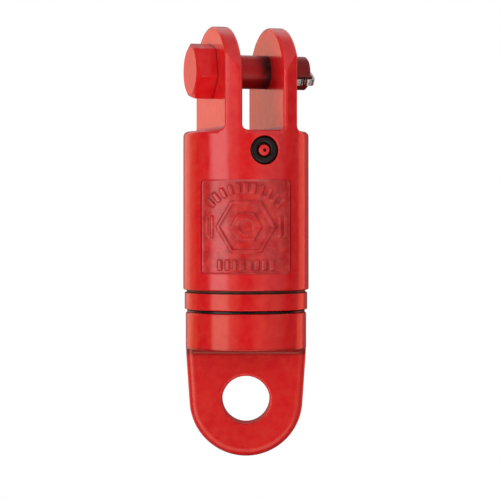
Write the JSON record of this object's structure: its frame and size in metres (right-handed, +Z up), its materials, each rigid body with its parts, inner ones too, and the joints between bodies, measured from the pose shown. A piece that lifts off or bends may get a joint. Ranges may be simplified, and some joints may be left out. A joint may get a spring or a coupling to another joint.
{
  "type": "jaw and eye bearing swivel",
  "caption": "Forged jaw-and-eye rigging swivel: clevis jaw with hex-head pin above a greased bearing barrel, and a flat eye that turns below it.",
  "frame": {"origin": "centre of the jaw pin, midway between the two ears", "axes": "+Z up the swivel axis from the eye to the jaw, +X along the jaw pin from its head to its cotter end, -Y towards the grease nipple"},
  "size_m": [0.0737, 0.0712, 0.2425],
  "materials": {
    "red_enamel": "gloss enamel over forged steel",
    "pin_enamel": "gloss enamel over turned steel",
    "zinc_wire": "bright zinc plate",
    "dark_steel": "blackened steel",
    "bearing_steel": "ground and polished",
    "bronze": "machined bronze",
    "black_rubber": "glossy moulded rubber"
  },
  "bodies": {
    "jaw": {"jaw_body": "red_enamel", "barrel_cap": "red_enamel", "cap_lock_screws": "dark_steel", "cap_o_ring": "black_rubber", "outer_race": "bearing_steel", "upper_bushing": "bronze", "roof_washer": "bronze", "shaft_bushing": "bronze", "grease_fitting_body": "red_enamel", "grease_fitting_seal": "black_rubber", "grease_check_spring": "zinc_wire"},
    "eye": {"eye_shank": "red_enamel", "shank_nut": "dark_steel", "nut_lock_pin": "dark_steel", "race_washer": "bearing_steel", "inner_race": "bearing_steel", "shaft_seal": "black_rubber"},
    "cage": {"ball_cage": "bronze", "bearing_balls": "bearing_steel"},
    "pin": {"jaw_pin": "pin_enamel", "cotter_pin": "zinc_wire"},
    "check_ball": {"grease_check_ball": "red_enamel"}
  },
  "joints": [
    {"name": "swivel", "type": "hinge", "parent": "jaw", "child": "eye", "pos_m": [0, 0, -0.1], "axis": [0, 0, 1], "continuous": true},
    {"name": "cage_spin", "type": "hinge", "parent": "jaw", "child": "cage", "pos_m": [0, 0, -0.1], "axis": [0, 0, 1], "continuous": true},
    {"name": "pin_turn", "type": "hinge", "parent": "jaw", "child": "pin", "pos_m": [0, 0, 0], "axis": [1, 0, 0], "continuous": true},
    {"name": "check_ball_slide", "type": "slide", "parent": "jaw", "child": "check_ball", "axis": [0, 1, 0], "range_m": [0, 0.0008], "stiffness_N_per_m": 300, "springref_m": -0.001, "deforming": ["grease_check_spring"]}
  ],
  "couplings": [
    {"joint": "cage_spin", "follows": "swivel", "ratio": 0.4137}
  ]
}
